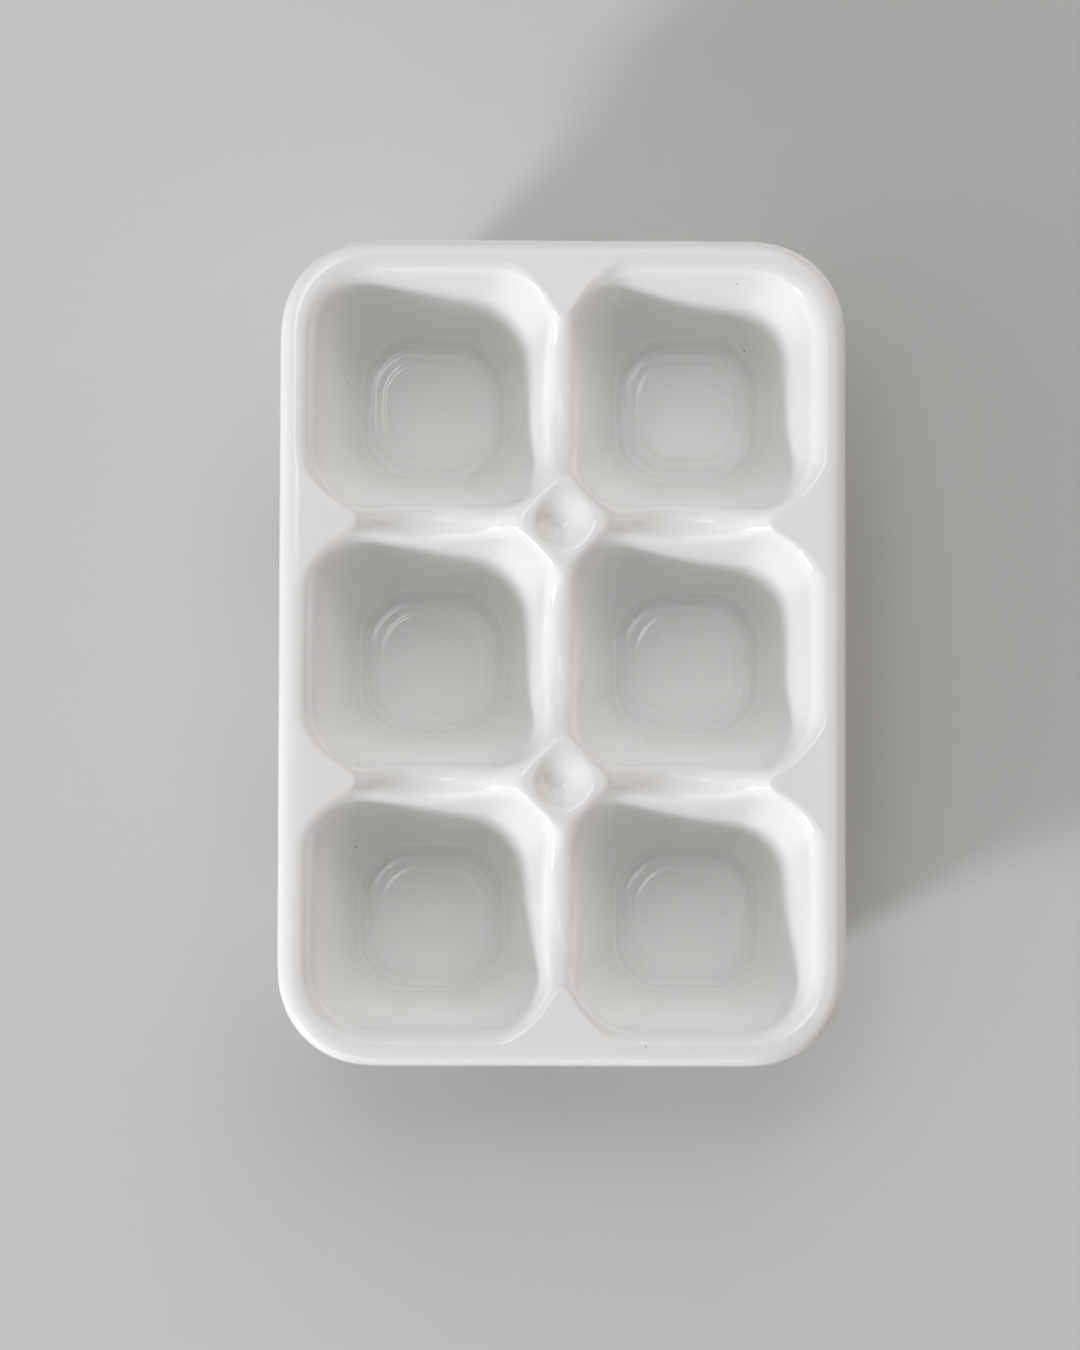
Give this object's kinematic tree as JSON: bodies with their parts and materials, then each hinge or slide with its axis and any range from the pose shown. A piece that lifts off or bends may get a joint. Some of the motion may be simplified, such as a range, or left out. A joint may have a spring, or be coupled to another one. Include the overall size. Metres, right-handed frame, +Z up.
{
  "type": "egg tray",
  "caption": "Glazed porcelain egg tray: tapering square wells in a rounded rim, with sunk ribs and dished diamond posts between the wells and a bare foot ring under each.",
  "frame": {"origin": "middle of the tray, on the plane that its foot rings stand on", "axes": "+Y along the long side, away from a person at the front; +X to the right; +Z up out of the wells"},
  "size_m": [0.108, 0.1574, 0.0426],
  "materials": {
    "glazed_porcelain": "clear gloss glaze over white porcelain",
    "bare_porcelain": "unglazed, sanded"
  },
  "bodies": {
    "root": {"rim_frame": "glazed_porcelain", "cup_front_left": "glazed_porcelain", "cup_front_right": "glazed_porcelain", "cup_middle_left": "glazed_porcelain", "cup_middle_right": "glazed_porcelain", "cup_back_left": "glazed_porcelain", "cup_back_right": "glazed_porcelain", "rib_front_left": "glazed_porcelain", "rib_front_right": "glazed_porcelain", "rib_back_left": "glazed_porcelain", "rib_back_right": "glazed_porcelain", "spine_front": "glazed_porcelain", "spine_middle": "glazed_porcelain", "spine_back": "glazed_porcelain", "post_front": "glazed_porcelain", "post_back": "glazed_porcelain", "foot_front_left": "bare_porcelain", "foot_front_right": "bare_porcelain", "foot_middle_left": "bare_porcelain", "foot_middle_right": "bare_porcelain", "foot_back_left": "bare_porcelain", "foot_back_right": "bare_porcelain"}
  },
  "joints": []
}
